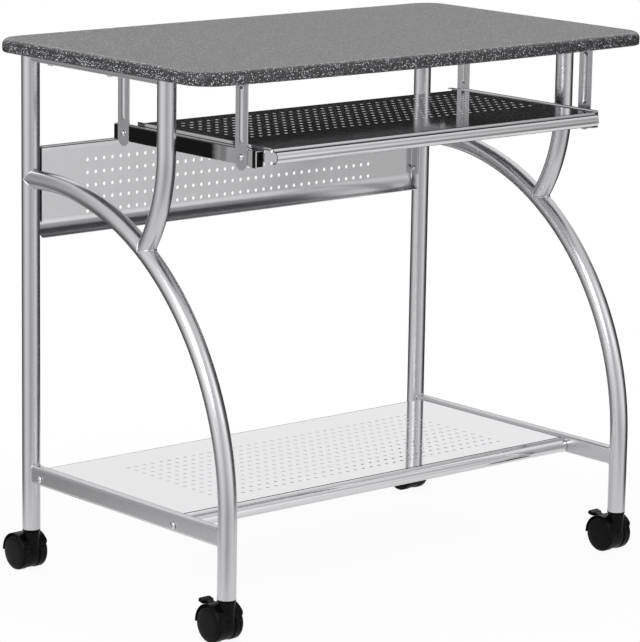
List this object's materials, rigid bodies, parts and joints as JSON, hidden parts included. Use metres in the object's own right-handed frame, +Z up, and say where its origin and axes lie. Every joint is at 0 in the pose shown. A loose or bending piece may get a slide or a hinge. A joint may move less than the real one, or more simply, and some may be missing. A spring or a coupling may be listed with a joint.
{
  "type": "computer desk with keyboard tray",
  "caption": "Rolling computer desk: a board with a bowed front on arched tube side frames, a pull-out perforated keyboard tray, a rear panel, a low shelf and twin-wheel casters.",
  "frame": {"origin": "middle of the footprint, on the floor under the casters", "axes": "+X to the user's right along the board, +Y to the back, +Z up"},
  "size_m": [0.8, 0.4806, 0.74],
  "materials": {
    "board": "satin speckled laminate",
    "silver_tube": "gloss silver paint",
    "silver_sheet": "gloss silver paint",
    "black_steel": "gloss black",
    "zinc": "bright zinc",
    "cage_plastic": "matte",
    "black_plastic": "gloss"
  },
  "bodies": {
    "frame": {"arch_leg_left": "silver_tube", "arch_leg_right": "silver_tube", "desktop": "board", "front_left_caster_socket": "black_plastic", "front_left_caster_stem": "zinc", "front_right_caster_socket": "black_plastic", "front_right_caster_stem": "zinc", "hanger_foot_screws": "zinc", "lower_rail_left": "silver_tube", "lower_rail_right": "silver_tube", "lower_shelf": "silver_sheet", "panel_screws": "zinc", "rear_left_caster_socket": "black_plastic", "rear_left_caster_stem": "zinc", "rear_panel": "silver_sheet", "rear_post_left": "silver_tube", "rear_post_right": "silver_tube", "rear_right_caster_socket": "black_plastic", "rear_right_caster_stem": "zinc", "shelf_nuts": "zinc", "shelf_screws": "zinc", "slide_outer_left": "black_steel", "slide_outer_right": "black_steel", "slide_screws": "zinc", "top_rail_left": "silver_tube", "top_rail_right": "silver_tube", "top_rail_screws": "zinc", "tray_hanger_front_left": "silver_tube", "tray_hanger_front_right": "silver_tube", "tray_hanger_rear_left": "silver_tube", "tray_hanger_rear_right": "silver_tube", "upper_strut_left": "silver_tube", "upper_strut_right": "silver_tube"},
    "tray": {"keyboard_tray": "silver_sheet", "slide_inner_left": "zinc", "slide_inner_right": "zinc", "slide_bumpers": "black_plastic", "tray_screws": "zinc"},
    "slide_cages": {"slide_cage_left": "cage_plastic", "slide_cage_right": "cage_plastic", "slide_balls": "zinc"},
    "front_left_caster": {"front_left_caster_hood": "black_plastic", "front_left_caster_axle": "zinc"},
    "front_left_wheel_left": {"front_left_caster_wheel_left": "black_plastic"},
    "front_left_wheel_right": {"front_left_caster_wheel_right": "black_plastic"},
    "front_left_brake": {"front_left_brake_lever": "black_plastic"},
    "front_right_caster": {"front_right_caster_hood": "black_plastic", "front_right_caster_axle": "zinc"},
    "front_right_wheel_left": {"front_right_caster_wheel_left": "black_plastic"},
    "front_right_wheel_right": {"front_right_caster_wheel_right": "black_plastic"},
    "front_right_brake": {"front_right_brake_lever": "black_plastic"},
    "rear_left_caster": {"rear_left_caster_hood": "black_plastic", "rear_left_caster_axle": "zinc"},
    "rear_left_wheel_left": {"rear_left_caster_wheel_left": "black_plastic"},
    "rear_left_wheel_right": {"rear_left_caster_wheel_right": "black_plastic"},
    "rear_right_caster": {"rear_right_caster_hood": "black_plastic", "rear_right_caster_axle": "zinc"},
    "rear_right_wheel_left": {"rear_right_caster_wheel_left": "black_plastic"},
    "rear_right_wheel_right": {"rear_right_caster_wheel_right": "black_plastic"}
  },
  "joints": [
    {"name": "tray_slide", "type": "slide", "parent": "frame", "child": "tray", "axis": [0, -1, 0], "range_m": [0, 0.2]},
    {"name": "cage_slide", "type": "slide", "parent": "frame", "child": "slide_cages", "axis": [0, -1, 0], "range_m": [0, 0.1]},
    {"name": "front_left_swivel", "type": "hinge", "parent": "frame", "child": "front_left_caster", "pos_m": [-0.357, -0.22785, 0.057], "axis": [0, 0, 1], "continuous": true},
    {"name": "front_left_wheel_left_spin", "type": "hinge", "parent": "front_left_caster", "child": "front_left_wheel_left", "pos_m": [-0.371, -0.21485, 0.025], "axis": [1, 0, 0], "continuous": true},
    {"name": "front_left_wheel_right_spin", "type": "hinge", "parent": "front_left_caster", "child": "front_left_wheel_right", "pos_m": [-0.343, -0.21485, 0.025], "axis": [1, 0, 0], "continuous": true},
    {"name": "front_left_brake_press", "type": "hinge", "parent": "front_left_caster", "child": "front_left_brake", "pos_m": [-0.357, -0.20208, 0.04467], "axis": [-1, 0, 0], "range_deg": [0, 18]},
    {"name": "front_right_swivel", "type": "hinge", "parent": "frame", "child": "front_right_caster", "pos_m": [0.357, -0.22785, 0.057], "axis": [0, 0, 1], "continuous": true},
    {"name": "front_right_wheel_left_spin", "type": "hinge", "parent": "front_right_caster", "child": "front_right_wheel_left", "pos_m": [0.343, -0.21485, 0.025], "axis": [1, 0, 0], "continuous": true},
    {"name": "front_right_wheel_right_spin", "type": "hinge", "parent": "front_right_caster", "child": "front_right_wheel_right", "pos_m": [0.371, -0.21485, 0.025], "axis": [1, 0, 0], "continuous": true},
    {"name": "front_right_brake_press", "type": "hinge", "parent": "front_right_caster", "child": "front_right_brake", "pos_m": [0.357, -0.20208, 0.04467], "axis": [-1, 0, 0], "range_deg": [0, 18]},
    {"name": "rear_left_swivel", "type": "hinge", "parent": "frame", "child": "rear_left_caster", "pos_m": [-0.357, 0.20015, 0.057], "axis": [0, 0, 1], "continuous": true},
    {"name": "rear_left_wheel_left_spin", "type": "hinge", "parent": "rear_left_caster", "child": "rear_left_wheel_left", "pos_m": [-0.371, 0.21315, 0.025], "axis": [1, 0, 0], "continuous": true},
    {"name": "rear_left_wheel_right_spin", "type": "hinge", "parent": "rear_left_caster", "child": "rear_left_wheel_right", "pos_m": [-0.343, 0.21315, 0.025], "axis": [1, 0, 0], "continuous": true},
    {"name": "rear_right_swivel", "type": "hinge", "parent": "frame", "child": "rear_right_caster", "pos_m": [0.357, 0.20015, 0.057], "axis": [0, 0, 1], "continuous": true},
    {"name": "rear_right_wheel_left_spin", "type": "hinge", "parent": "rear_right_caster", "child": "rear_right_wheel_left", "pos_m": [0.343, 0.21315, 0.025], "axis": [1, 0, 0], "continuous": true},
    {"name": "rear_right_wheel_right_spin", "type": "hinge", "parent": "rear_right_caster", "child": "rear_right_wheel_right", "pos_m": [0.371, 0.21315, 0.025], "axis": [1, 0, 0], "continuous": true}
  ],
  "couplings": [
    {"joint": "cage_slide", "follows": "tray_slide", "ratio": 0.5}
  ]
}
